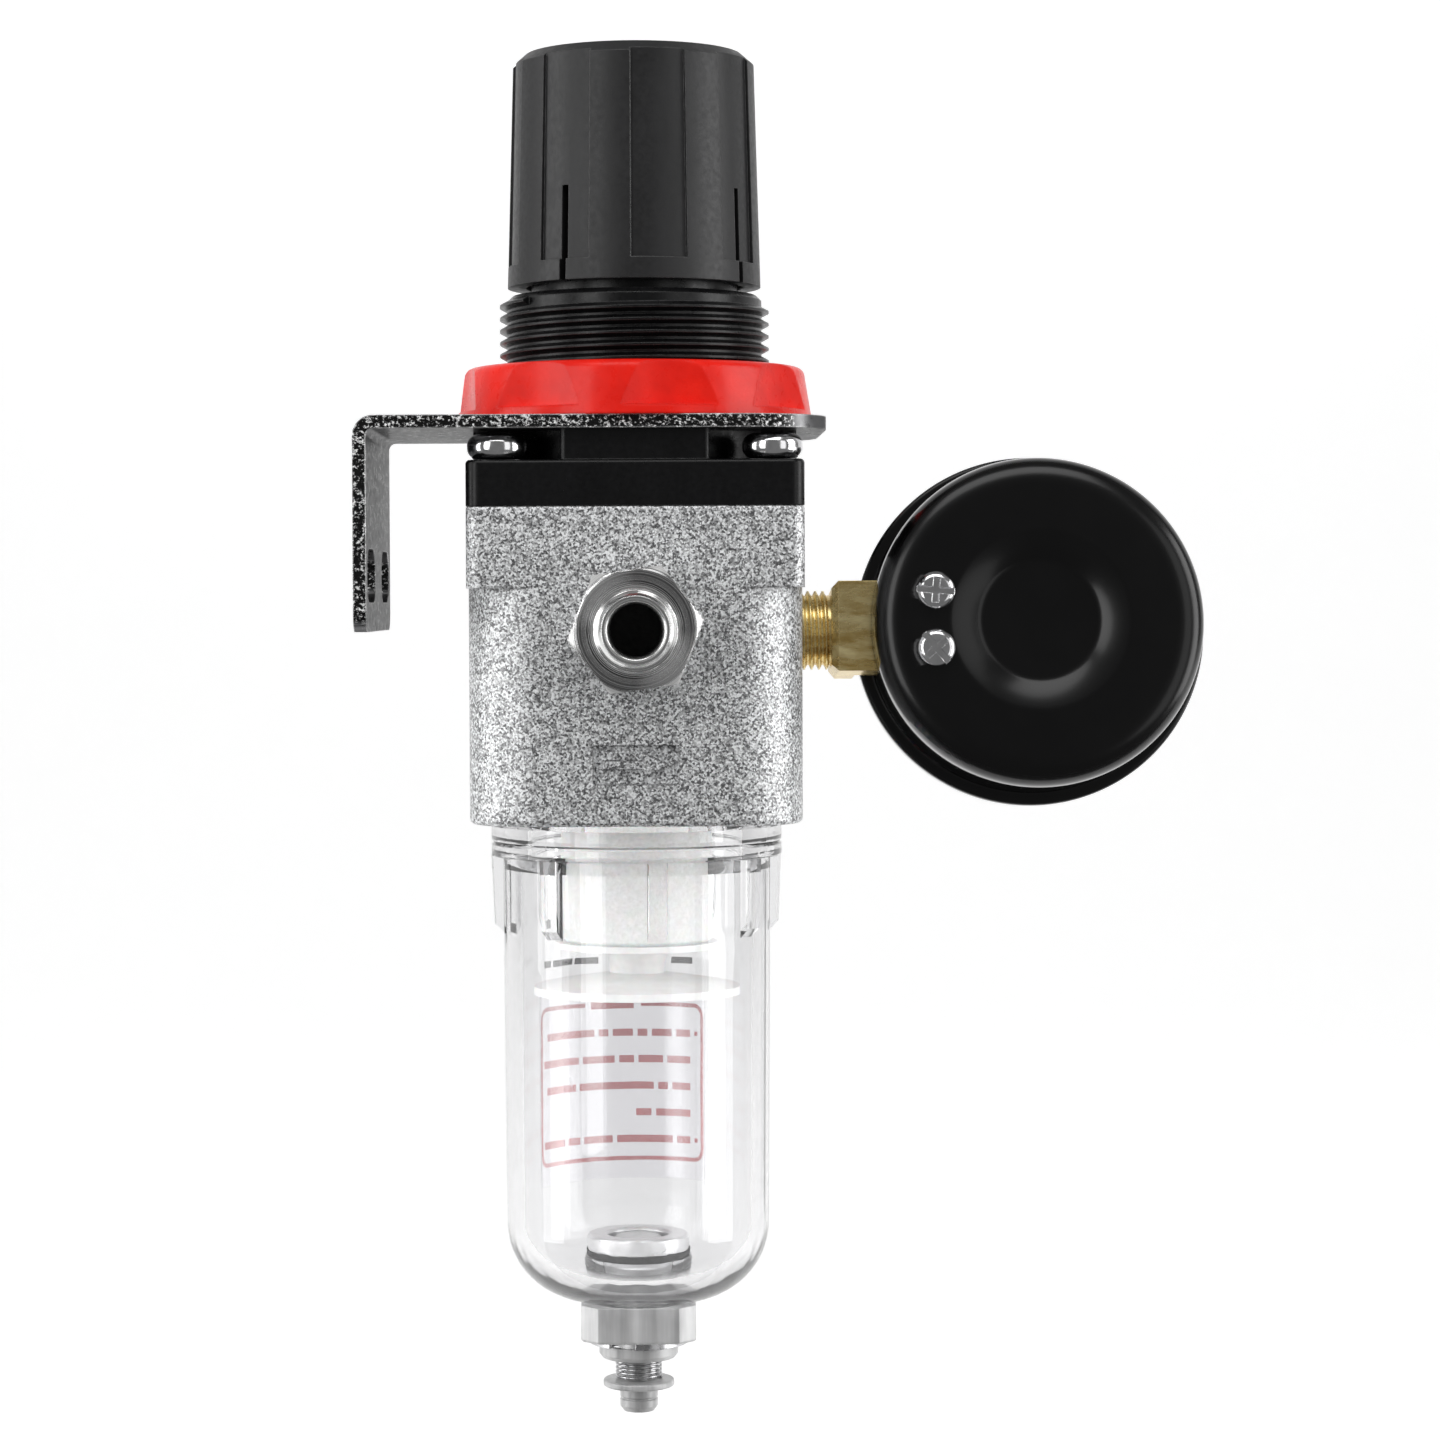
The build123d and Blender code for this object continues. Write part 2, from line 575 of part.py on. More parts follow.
cap_base = -90.1
with BuildPart() as drain_cap:
    turned(SECTION, UPRIGHT, [
        (drain_bore_r, cap_base), (4.5, cap_base), (4.9, cap_base + 0.5), (4.9, shank_base),
        (cap_spigot_r, shank_base), (cap_spigot_r, -85.6), (drain_bore_r, -85.6),
    ])
save(drain_cap, "drain_cap")

push_top = -92.9         # upper face of the push flange on the drain stem
with BuildPart() as drain_spring:
    coil_spring(LEVEL, 2.75, 0.16, 0.5, push_top + 0.01, cap_base - 0.01)
save(drain_spring, "drain_spring")

drain_rod_r = 1.5
tip_r = 2.35
tip_base = -96.8
with BuildPart() as drain_stem:
    turned(SECTION, UPRIGHT, [
        (0, tip_base + 12), (0, drain_seat + 2.0), (2.6, drain_seat + 2.0),
        (3.1, drain_seat + 1.6), (3.1, drain_seat + 0.9), (drain_rod_r, drain_seat + 0.9),
        (drain_rod_r, push_top - 0.8), (tip_r, push_top - 0.8),
        (tip_r, -95.0), (2.15, -95.1), (2.15, -95.25), (tip_r, -95.35), (tip_r, -96.2),
        (1.9, tip_base), (1.1, tip_base), (1.1, tip_base + 12),
    ])
    tube(BACK.offset(-body_w / 2), -3, 3, 0.5, at=(0, tip_base + 11.0), mode=Mode.SUBTRACT)
save(drain_stem, "drain_stem")

with BuildPart() as drain_push_ring:
    tube(LEVEL, push_top - 0.8, push_top, 4.4, drain_rod_r + 0.02)
    fillet(drain_push_ring.edges().filter_by(GeomType.CIRCLE).group_by(SortBy.RADIUS)[-1], 0.2)
save(drain_push_ring, "drain_push_ring")

with BuildPart() as drain_seal:
    with BuildSketch(SECTION):
        with Locations((2.2, drain_seat + 0.45)):
            Circle(0.44)
    revolve(axis=UPRIGHT)
save(drain_seal, "drain_seal")

# ---- Ports ---------------------------------------------------------------------------
nipple_reach = 16.0
nipple_bore_r = 3.0
hex_depth = 6.0
with BuildPart() as inlet_nipple:
    tube(FRONT, -port_depth + 0.5, 0, port_male_r)
    with BuildSketch(FRONT):
        RegularPolygon(7.0, 6, major_radius=False, rotation=8)
    extrude(amount=hex_depth)
    turned(FRONT_SECTION, Axis(FRONT.origin, FRONT.z_dir), [
        (6.9, -hex_depth), (8.5, -hex_depth), (8.5, 0.9 - hex_depth),
    ], mode=Mode.SUBTRACT)
    tube(FRONT, hex_depth, nipple_reach, small_male_r)
    chamfer(inlet_nipple.faces().sort_by(Axis.Y)[0].edges(), 0.9)
    tube(FRONT, -port_depth, nipple_reach, nipple_bore_r, mode=Mode.SUBTRACT)
    chamfer(inlet_nipple.faces().sort_by(Axis.Y)[0].inner_wires().edges(), 0.45)
save(inlet_nipple, "inlet_nipple")

with BuildPart() as port_plug:
    tube(LEFT, -6.5, -0.6, small_male_r)
    with BuildSketch(LEFT.offset(-4.0)):
        RegularPolygon(2.5, 6, major_radius=False)
    extrude(amount=4.0, mode=Mode.SUBTRACT)
    chamfer(port_plug.faces().sort_by(Axis.X)[0].outer_wire().edges(), 0.5)
save(port_plug, "port_plug")

# ---- Pressure gauge --------------------------------------------------------------------
case_wall = 1.0
case_bore_r = case_r - case_wall
lip_r = 21.6
lip_top = case_rim + 2.5
stem_start = 24.7        # from the gauge's axis to the outer end of the square
neck_deep = 6.4          # the square is cut back where it passes the case's wall
neck_mid = (neck_deep - stem_flat) / 2
case_screws = [(12.65, -3.45), (12.65, 3.45)]

with BuildPart() as gauge_case:
    with BuildSketch(GAUGE_SECTION):
        with BuildLine():
            # Outside, from the dished middle of the back round to the front lip.
            Polyline((0, case_back + 1.3), (7.5, case_back + 1.2))
            Spline(
                (7.5, case_back + 1.2), (9.6, case_back + 0.25), (10.8, case_back),
                tangents=((1, 0.0), (1, 0)),
            )
            Line((10.8, case_back), (case_r - 3.6, case_back))
            RadiusArc((case_r - 3.6, case_back), (case_r, case_back + 3.6), -3.6)
            Polyline(
                (case_r, case_back + 3.6), (case_r, case_rim), (lip_r - 0.5, case_rim),
                (lip_r, case_rim + 0.5), (lip_r, lip_top), (case_bore_r, lip_top),
                (case_bore_r, case_back + 3.6),
            )
            RadiusArc(
                (case_bore_r, case_back + 3.6), (case_r - 3.6, case_back + case_wall), 2.6
            )
            Polyline(
                (case_r - 3.6, case_back + case_wall), (10.8, case_back + case_wall),
                (7.5, case_back + 2.2), (0, case_back + 2.3), (0, case_back + 1.3),
            )
        make_face()
    revolve(axis=GAUGE_AXIS)
    with BuildSketch(STEM.offset(case_bore_r - 3)):
        with Locations((0, neck_mid)):
            Rectangle(stem_flat + 0.5, neck_deep + 0.5)
    extrude(amount=6, mode=Mode.SUBTRACT)
    for place in case_screws:
        tube(GAUGE, case_back - 1, case_back + 3, 1.3, at=place, mode=Mode.SUBTRACT)
save(gauge_case, "gauge_case")

block_face = case_back + case_wall
dial_low, dial_high = 1.0, 1.4
dial_screw_places = [(12.6, 4.2), (12.6, -4.2)]
with BuildPart() as gauge_stem:
    with BuildSketch(STEM.offset(lip_r + 0.1)):
        Rectangle(stem_flat, stem_flat)
    extrude(amount=stem_start - lip_r - 0.1)
    chamfer(gauge_stem.faces().sort_by(STEM.location.z_axis)[-1].edges(), 0.8)
    with BuildSketch(STEM.offset(16.0)):
        with Locations((0, neck_mid)):
            Rectangle(stem_flat, neck_deep)
    extrude(amount=lip_r + 0.1 - 16.0)
    with BuildSketch(GAUGE.offset(block_face)):
        with Locations((13.6, 0)):
            Rectangle(5.6, stem_flat)
    extrude(amount=dial_low - block_face)
    tube(STEM, stem_start, 34.0, 4.3)
    thread(STEM, 4.3, small_male_r, pipe_pitch, stem_start + 0.45, 8.3)
    tube(STEM, 14.0, 34.0, 1.2, mode=Mode.SUBTRACT)
    for place in case_screws:
        tube(GAUGE, block_face, block_face + 4.5, 1.2, at=place, mode=Mode.SUBTRACT)
    for place in dial_screw_places:
        tube(GAUGE, dial_low - 2, dial_low, 0.6, at=place, mode=Mode.SUBTRACT)
save(gauge_stem, "gauge_stem")

with BuildPart() as gauge_case_screws:
    for place in case_screws:
        tube(GAUGE, case_back, block_face + 4, 1.15, at=place)
        tube(GAUGE, case_back - 1.5, case_back, 2.3, at=place)
    heads = gauge_case_screws.faces().filter_by(GeomType.PLANE).sort_by(GAUGE_AXIS)[:2]
    fillet(heads.edges(), 0.9)
    for place, turn in zip(case_screws, (50, 5)):
        with BuildSketch(GAUGE.offset(case_back - 1.6)):
            with Locations(Location((*place, 0), (0, 0, turn))):
                Rectangle(5.0, 0.8)
                Rectangle(0.8, 3.0)
        extrude(amount=0.9, mode=Mode.SUBTRACT)
save(gauge_case_screws, "gauge_case_screws")

with BuildPart() as gauge_lens:
    turned(GAUGE_SECTION, GAUGE_AXIS, [
        (0, 6.4), (18.6, 5.8), (19.6, 5.2), (19.6, lip_top), (21.3, lip_top),
        (21.3, 6.2), (20.6, 7.1), (18.8, 7.5), (10.0, 8.0), (0, 8.1),
    ])
save(gauge_lens, "gauge_lens")

with BuildPart() as gauge_dial:
    tube(GAUGE, dial_low, dial_high, case_bore_r - 0.2, 0.9)
    for place in dial_screw_places:
        tube(GAUGE, dial_low, dial_high, 0.6, at=place, mode=Mode.SUBTRACT)
save(gauge_dial, "gauge_dial")

with BuildPart() as dial_screws:
    for place in dial_screw_places:
        tube(GAUGE, dial_high, dial_high + 0.5, 1.1, at=place)
        tube(GAUGE, dial_low - 1.5, dial_high, 0.55, at=place)
save(dial_screws, "dial_screws")

# Movement: a C-shaped pressure tube pulls a toothed sector, which turns the
# pinion on the pointer's spindle. The sector pivots on the side away from the
# stem, so the dial's lower edge faces the stem.
sector_r = sector_teeth * gear_module / 2
pinion_r = pinion_teeth * gear_module / 2
pivot = (-(sector_r + pinion_r), 0.0)
gear_low, gear_high = -3.8, -2.8
plate_levels = (-6.2, -1.4)
plate_t = 0.8
arbor_r = 0.5


def gear_teeth(centre, radius, count, first, wanted, low, high):
    """Narrow trapezium teeth round a blank whose root lies below their foot."""
    foot, tip, wide = radius - 1.4 * gear_module, radius + 0.8 * gear_module, 0.8 * gear_module
    for i in range(wanted):
        with BuildSketch(spun(GAUGE, centre, first + i * 360 / count).offset(low)) as tooth:
            with BuildLine():
                Polyline((foot, -wide), (tip, -0.06), (tip, 0.06), (foot, wide), close=True)
            make_face()
        extrude(tooth.sketch, amount=high - low)


with BuildPart() as bourdon_tube:
    with BuildSketch(GAUGE.offset(-9.5)):
        with BuildLine():
            mouth, tail = 5.0, 262.0
            outer = CenterArc((0, 0), 16.4, mouth, tail - mouth)
            inner = CenterArc((0, 0), 15.0, mouth, tail - mouth)
            Line(outer @ 0, inner @ 0)
            Line(outer @ 1, inner @ 1)
        make_face()
        with Locations((14.0, 0)):
            Rectangle(8.0, stem_flat, mode=Mode.SUBTRACT)
        with Locations((19.0, 0)):
            Rectangle(8.0, stem_flat, mode=Mode.SUBTRACT)
    extrude(amount=5.0)
save(bourdon_tube, "bourdon_tube")

with BuildPart() as movement_frame:
    for low in plate_levels:
        with BuildSketch(GAUGE.offset(low)):
            SlotCenterToCenter(2 * 6.8, 6.0)
            with Locations((-5.15, 0)):
                SlotCenterToCenter(12.3, 5.0)
            with Locations((0, 0), pivot):
                Circle(arbor_r + fit, mode=Mode.SUBTRACT)
        extrude(amount=plate_t)
    for place in ((7.6, 1.8), (7.6, -1.8), (-12.2, 0)):
        tube(GAUGE, plate_levels[0] + plate_t, plate_levels[1], 0.7, at=place)
    with BuildSketch(GAUGE.offset(plate_levels[0])):
        with Locations((9.3, 0)):
            Rectangle(3.0, 5.0)
    extrude(amount=plate_t)
save(movement_frame, "movement_frame")

with BuildPart() as sector_gear:
    step, wanted = 360 / sector_teeth, 11
    first = step / 2 - (wanted - 1) * step
    with BuildSketch(GAUGE.offset(gear_low)):
        with BuildLine():
            rim = CenterArc(pivot, sector_r - 1.2 * gear_module, first - 2.5, wanted * step - 1)
            Line(pivot, rim @ 0)
            Line(rim @ 1, pivot)
        make_face()
        with Locations(pivot):
            Circle(1.6)
    extrude(amount=gear_high - gear_low)
    gear_teeth(pivot, sector_r, sector_teeth, first, wanted, gear_low, gear_high)
    tube(GAUGE, plate_levels[0], plate_levels[1] + plate_t, arbor_r, at=pivot)
save(sector_gear, "sector_gear")

pointer_low = 2.4
rest_angle = -45.0       # pointer at zero, from the stem's direction
with BuildPart() as pointer:
    tube(GAUGE, plate_levels[0], pointer_low, arbor_r)
    tube(GAUGE, gear_low, gear_high, pinion_r - 1.2 * gear_module)
    gear_teeth((0, 0), pinion_r, pinion_teeth, 0, pinion_teeth, gear_low, gear_high)
    tube(GAUGE, pointer_low, pointer_low + 1.2, 1.7)
    with BuildSketch(spun(GAUGE, (0, 0), rest_angle).offset(pointer_low)):
        with BuildLine():
            Polyline(
                (-5.0, -0.9), (0, -0.7), (14.2, -0.15), (14.2, 0.15), (0, 0.7),
                (-5.0, 0.9), close=True,
            )
        make_face()
    extrude(amount=0.4)
save(pointer, "pointer")
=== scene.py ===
import bmesh
import bpy
import json
from math import cos, pi, radians, sin
from mathutils import Matrix, Vector


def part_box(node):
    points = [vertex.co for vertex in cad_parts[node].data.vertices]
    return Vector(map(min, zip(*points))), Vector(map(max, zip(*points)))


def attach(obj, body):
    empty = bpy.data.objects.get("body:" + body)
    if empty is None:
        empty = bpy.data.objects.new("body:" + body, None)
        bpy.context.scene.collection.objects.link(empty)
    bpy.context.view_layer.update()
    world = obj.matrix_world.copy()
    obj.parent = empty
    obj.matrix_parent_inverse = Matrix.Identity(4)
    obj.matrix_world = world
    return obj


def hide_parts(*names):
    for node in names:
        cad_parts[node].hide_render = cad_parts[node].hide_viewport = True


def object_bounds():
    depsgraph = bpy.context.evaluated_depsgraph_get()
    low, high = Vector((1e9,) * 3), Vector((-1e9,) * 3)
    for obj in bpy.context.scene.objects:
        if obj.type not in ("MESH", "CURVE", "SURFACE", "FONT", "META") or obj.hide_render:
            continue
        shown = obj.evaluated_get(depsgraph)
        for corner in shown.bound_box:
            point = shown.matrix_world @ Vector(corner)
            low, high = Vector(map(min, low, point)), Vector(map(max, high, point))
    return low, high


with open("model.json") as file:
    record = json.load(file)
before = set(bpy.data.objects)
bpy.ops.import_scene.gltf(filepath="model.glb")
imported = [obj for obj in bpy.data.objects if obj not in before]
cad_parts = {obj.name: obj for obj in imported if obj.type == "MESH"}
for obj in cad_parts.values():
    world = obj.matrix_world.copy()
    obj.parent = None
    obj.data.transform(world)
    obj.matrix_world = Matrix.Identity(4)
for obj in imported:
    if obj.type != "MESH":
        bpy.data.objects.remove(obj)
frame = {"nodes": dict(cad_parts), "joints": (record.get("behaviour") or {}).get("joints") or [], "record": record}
cad_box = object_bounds()

# ---- Where things are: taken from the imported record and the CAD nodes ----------
MM = 0.001
mounts = {m["name"]: m for m in frame["record"]["mounts"]}
joints = {j["name"]: j for j in frame["joints"]}
PORT = Vector(mounts["outlet_port"]["pos_m"])
AX, PZ = PORT.x, PORT.z
PORT_R = 6.6 * MM                                  # bore of the inlet and outlet ports
MARK_DROP, MARK_HALF_W, MARK_HALF_H = 15.9 * MM, 6.0 * MM, 3.3 * MM  # round the flow arrow's panel
dial_in = Vector(joints["pointer_swing"]["axis"]).normalized()
gauge_at = Vector(joints["pointer_swing"]["pos_m"])


def basis(origin, x, z):
    """Placement matrix from an origin, an x direction and a z direction."""
    z = z.normalized()
    y = z.cross(x).normalized()
    x = y.cross(z)
    m = Matrix((x, y, z)).transposed().to_4x4()
    m.translation = origin
    return m


REGULATOR = basis(Vector((AX, 0, PZ)), Vector((1, 0, 0)), Vector((0, 0, 1)))
GAUGE = basis(gauge_at, Vector((-1, 0, 0)), -dial_in)
FRONT = basis(Vector((AX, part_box("body")[0].y, PZ)), Vector((1, 0, 0)), Vector((0, -1, 0)))


# ---- Node material helpers ------------------------------------------------------
class Shade:
    """A procedural material on object coordinates, one Principled shader."""

    def __init__(self, name, **sockets):
        self.m = bpy.data.materials.new(name)
        self.m.use_nodes = True
        self.t = self.m.node_tree
        self.p = self.t.nodes["Principled BSDF"]
        self.co = self.add("ShaderNodeTexCoord").outputs["Object"]
        for k, v in sockets.items():
            self.set(k.replace("_", " "), v)

    def add(self, kind, inputs=None, **attrs):
        n = self.t.nodes.new(kind)
        for k, v in attrs.items():
            setattr(n, k, v)
        for k, v in (inputs or {}).items():
            if isinstance(v, bpy.types.NodeSocket):
                self.t.links.new(v, n.inputs[k])
            else:
                n.inputs[k].default_value = v
        return n

    def set(self, key, value):
        if isinstance(value, bpy.types.NodeSocket):
            self.t.links.new(value, self.p.inputs[key])
        else:
            if isinstance(value, (tuple, list)) and len(value) == 3:
                value = (*value, 1.0)
            self.p.inputs[key].default_value = value
        return self

    def stretched(self, scale):
        return self.add("ShaderNodeMapping", {"Vector": self.co, "Scale": scale}).outputs[0]

    def noise(self, scale, detail=3.0, rough=0.55, vector=None):
        return self.add("ShaderNodeTexNoise", {
            "Vector": vector or self.co, "Scale": scale, "Detail": detail,
            "Roughness": rough}).outputs["Fac"]

    def cells(self, scale):
        return self.add("ShaderNodeTexVoronoi", {"Vector": self.co, "Scale": scale}).outputs["Color"]

    def remap(self, value, a, b, c, d):
        """Value from a to b, taken to c to d and held there outside."""
        return self.add("ShaderNodeMapRange", {
            "Value": value, "From Min": a, "From Max": b, "To Min": c, "To Max": d}).outputs[0]

    def math(self, op, a, b=0.0):
        return self.add("ShaderNodeMath", {0: a, 1: b}, operation=op).outputs[0]

    def mix(self, fac, a, b):
        """Colour a at 0, b at 1."""
        n = self.add("ShaderNodeMix", {"Factor": fac}, data_type="RGBA")
        for key, v in ((6, a), (7, b)):
            if isinstance(v, bpy.types.NodeSocket):
                self.t.links.new(v, n.inputs[key])
            else:
                n.inputs[key].default_value = (*v, 1.0)
        return n.outputs[2]

    def edge(self, radius, low=0.80, high=0.98):
        """1 on the rounded edges of a piece, 0 on its faces."""
        soft = self.add("ShaderNodeBevel", {"Radius": radius}, samples=4).outputs[0]
        flat = self.add("ShaderNodeNewGeometry").outputs["Normal"]
        dot = self.add("ShaderNodeVectorMath", {0: soft, 1: flat}, operation="DOT_PRODUCT")
        return self.remap(dot.outputs["Value"], low, high, 1, 0)

    def from_port(self):
        """Offsets across and up from the ports' axis, and the distance from it."""
        at = self.add("ShaderNodeSeparateXYZ", {"Vector": self.co})
        x, z = self.math("SUBTRACT", at.outputs[0], AX), self.math("SUBTRACT", at.outputs[2], PZ)
        square = self.math("ADD", self.math("MULTIPLY", x, x), self.math("MULTIPLY", z, z))
        return x, z, self.math("SQRT", square)

    def lets_lamps_through(self, tint):
        """Shadow rays pass, so lamps light what is behind or inside clear plastic."""
        gate = self.add("ShaderNodeLightPath").outputs["Is Shadow Ray"]
        mix = self.add("ShaderNodeMixShader", {0: gate})
        self.t.links.new(self.p.outputs[0], mix.inputs[1])
        passed = self.add("ShaderNodeBsdfTransparent", {"Color": (*tint, 1)}).outputs[0]
        self.t.links.new(passed, mix.inputs[2])
        self.t.links.new(mix.outputs[0], self.t.nodes["Material Output"].inputs["Surface"])
        return self

    def colour(self, fac, a, b):
        return self.set("Base Color", self.mix(fac, a, b))

    def bump(self, height, distance, strength=1.0, edge=0.0):
        """Bump in metres, on normals rounded over edges by an edge radius."""
        inputs = {"Height": height, "Distance": distance, "Strength": strength}
        if edge:
            inputs["Normal"] = self.add("ShaderNodeBevel", {"Radius": edge}, samples=4).outputs[0]
        return self.set("Normal", self.add("ShaderNodeBump", inputs).outputs[0])


def cast_silver():
    """Silver paint over a cast grain; the bored ports bare of grain and painted dark as shade, and painted shade
    along the edges of the flow arrow's recess.
    """
    s = Shade("cast_silver", Metallic=0.65)
    grain = s.noise(3700, 2.0, 0.65)
    fleck = s.add("ShaderNodeSeparateColor", {"Color": s.cells(4300)}).outputs[0]
    tone = s.math("ADD", s.math("MULTIPLY", grain, 0.6), s.math("MULTIPLY", fleck, 0.4))
    broad = s.noise(60, 2.0)
    x, z, radius = s.from_port()
    # inside the port bore: left without grain as bare metal, and painted dark as shade
    bare_and_shaded_bore = s.remap(radius, PORT_R - 0.10 * MM, PORT_R + 0.02 * MM, 1, 0)
    beside = s.remap(s.math("ABSOLUTE", x), MARK_HALF_W - 0.1 * MM, MARK_HALF_W, 1, 0)
    off_level = s.math("ABSOLUTE", s.math("ADD", z, MARK_DROP))
    level = s.remap(off_level, MARK_HALF_H - 0.1 * MM, MARK_HALF_H, 1, 0)
    # painted shade: a dark line along the rounded edges of the flow arrow's recess, where shade falls
    painted_recess_shade = s.math("MULTIPLY", s.math("MULTIPLY", beside, level), s.edge(0.3 * MM, 0.78, 0.97))
    base = s.mix(s.remap(tone, 0.33, 0.67, 0, 1), (0.13, 0.13, 0.133), (0.98, 0.99, 1.0))
    base = s.mix(s.math("MULTIPLY", painted_recess_shade, 0.85), base, (0.03, 0.03, 0.03))
    s.set("Base Color", s.mix(bare_and_shaded_bore, base, (0.05, 0.05, 0.05)))
    s.set("Roughness", s.remap(s.math("ADD", fleck, s.math("MULTIPLY", broad, 0.3)), 0.1, 1.1, 0.34, 0.60))
    return s.bump(s.math("MULTIPLY", tone, s.math("SUBTRACT", 1.0, bare_and_shaded_bore)), 0.07 * MM, 0.8, 0.4 * MM).m


def black_plastic(name, rough, grain, tint, shine, edge):
    """Black moulding whose sharp edges are painted a little paler in patches, as a painted highlight."""
    s = Shade(name, Specular_IOR_Level=shine)
    n = s.noise(1500, 4.0, 0.6)
    streak = s.noise(300, 3.0, 0.6, s.stretched((1, 1, 0.25)))
    base = s.mix(s.remap(streak, 0.3, 0.7, 0, 1), tint, tuple(2.2 * c for c in tint))
    # painted highlight: the rounded edges are made paler, broken up by noise
    edge_highlight = s.math("MULTIPLY", s.edge(0.16 * MM), s.remap(s.noise(900, 4.0, 0.7), 0.35, 0.6, 0.25, 1))
    s.set("Base Color", s.mix(edge_highlight, base, edge))
    s.set("Roughness", s.remap(n, 0.3, 0.7, rough - 0.06, rough + 0.08))
    return s.bump(n, grain, 0.5, 0.2 * MM).m


def red_plastic():
    """Smooth glossy moulding."""
    s = Shade("red_nut", Coat_Weight=0.10, Coat_Roughness=0.10, Specular_IOR_Level=0.18)
    n = s.noise(220, 3.0)
    s.colour(s.remap(n, 0.35, 0.65, 0, 1), (0.74, 0.012, 0.006), (0.88, 0.018, 0.009))
    s.set("Roughness", s.remap(s.noise(900, 3.0), 0.3, 0.7, 0.24, 0.36))
    return s.bump(s.noise(160, 2.0), 0.01 * MM, 0.3, 0.45 * MM).m


def metal(name, dark, light, rough, spread=0.08, grain=0.01, scale=900, stretch=(1, 1, 1),
          edge=0.15, contrast=0.15, metallic=1.0):
    """Worked metal: grain in mm, stretched along the tool's way; a dull finish is less metallic."""
    s = Shade(name, Metallic=metallic)
    lines = s.noise(scale, 4.0, 0.65, s.stretched(stretch))
    patch = s.noise(120, 3.0)
    both = s.math("ADD", s.math("MULTIPLY", lines, 0.6), s.math("MULTIPLY", patch, 0.4))
    s.colour(s.remap(both, 0.5 - contrast, 0.5 + contrast, 0, 1), dark, light)
    s.set("Roughness", s.remap(lines, 0.3, 0.7, rough - spread, rough + spread))
    return s.bump(lines, grain * MM, 0.6, edge * MM).m


def turned_nickel():
    """Plated brass: turning rings round the port's axis, darker on the hexagon's face, with a painted reflection
    across the face's diagonals.
    """
    s = Shade("nipple_nickel", Metallic=1.0)
    x, z, radius = s.from_port()
    across = s.add("ShaderNodeCombineXYZ", {"X": radius}).outputs[0]
    rings = s.noise(5200, 3.0, 0.7, across)
    within = s.remap(radius, 7.30 * MM, 7.45 * MM, 1, 0)
    outside_thread = s.remap(radius, 5.15 * MM, 5.30 * MM, 0, 1)
    face = s.math("MULTIPLY", within, outside_thread)
    bright = s.mix(s.remap(rings, 0.35, 0.65, 0, 1), (0.50, 0.50, 0.50), (0.90, 0.90, 0.89))
    dull = s.mix(s.remap(rings, 0.40, 0.60, 0, 1), (0.08, 0.08, 0.08), (0.62, 0.62, 0.62))
    # painted reflection: the face is lightened along its diagonals, as a turned face catches light
    diagonal = s.math("DIVIDE", s.math("SUBTRACT", z, x), radius)
    painted_reflection = s.remap(s.math("ABSOLUTE", diagonal), 1.0, 1.41, 0, 0.8)
    dull = s.mix(painted_reflection, dull, (0.95, 0.95, 0.95))
    base = s.mix(face, bright, dull)
    s.set("Base Color", s.mix(s.edge(0.22 * MM, 0.90, 0.985), base, (0.97, 0.97, 0.97)))
    s.set("Metallic", s.remap(radius, 7.25 * MM, 7.40 * MM, 1, 0.35))
    s.set("Roughness", s.remap(rings, 0.3, 0.7, 0.16, 0.32))
    return s.bump(rings, 0.03 * MM, 0.7, 0.12 * MM).m


def zinc_sheet():
    """Plated sheet: satin faces, sheared edges torn dark with bright flecks, and the rounded rims along the burrs
    and bends painted near-white as a highlight.
    """
    s = Shade("zinc_sheet", Metallic=1.0, Specular_Tint=(0.40, 0.40, 0.40))
    normal = s.add("ShaderNodeTexCoord").outputs["Normal"]
    facing_ports = s.add("ShaderNodeSeparateXYZ", {"Vector": normal}).outputs[1]
    sheared = s.remap(s.math("ABSOLUTE", facing_ports), 0.75, 0.9, 0, 1)
    torn = s.noise(2600, 3.0, 0.75, s.stretched((0.8, 1, 1)))
    cloud = s.noise(90, 4.0, 0.6)
    base = s.mix(s.remap(cloud, 0.35, 0.65, 0, 1), (0.14, 0.14, 0.142), (0.20, 0.20, 0.204))
    flakes = s.mix(s.remap(torn, 0.54, 0.62, 0, 1), (0.012, 0.012, 0.012), (0.90, 0.90, 0.90))
    base = s.mix(sheared, base, flakes)
    # painted highlight: the rounded edges are made near-white
    s.set("Base Color", s.mix(s.edge(0.32 * MM, 0.75, 0.93), base, (0.92, 0.92, 0.92)))
    fine = s.noise(1600, 3.0, 0.6, s.stretched((1, 0.3, 1)))
    smooth = s.remap(fine, 0.3, 0.7, 0.24, 0.38)
    s.set("Roughness", s.math("ADD", smooth, s.math("MULTIPLY", sheared, 0.12)))
    rough = s.math("ADD", s.math("MULTIPLY", fine, 0.05), s.math("MULTIPLY", torn, sheared))
    return s.bump(rough, 0.25 * MM, 0.8, 0.2 * MM).m


def gloss_paint():
    """Enamel, smoother on the drawn side of the case than on its stamped back."""
    s = Shade("gauge_black", Coat_Weight=0.35, Coat_Roughness=0.05, Specular_IOR_Level=0.2)
    n = s.noise(240, 2.0)
    s.colour(s.remap(n, 0.3, 0.7, 0, 1), (0.0006, 0.0006, 0.0007), (0.0014, 0.0014, 0.0015))
    normal = s.add("ShaderNodeTexCoord").outputs["Normal"]
    along = s.add("ShaderNodeVectorMath", {0: normal, 1: dial_in}, operation="DOT_PRODUCT")
    back = s.remap(s.math("ABSOLUTE", along.outputs["Value"]), 0.2, 0.8, 0, 1)
    s.set("Roughness", s.remap(back, 0, 1, 0.05, 0.28))
    s.set("Coat Roughness", s.remap(back, 0, 1, 0.02, 0.18))
    return s.bump(s.noise(420, 3.0), 0.012 * MM, 0.4, 0.3 * MM).m


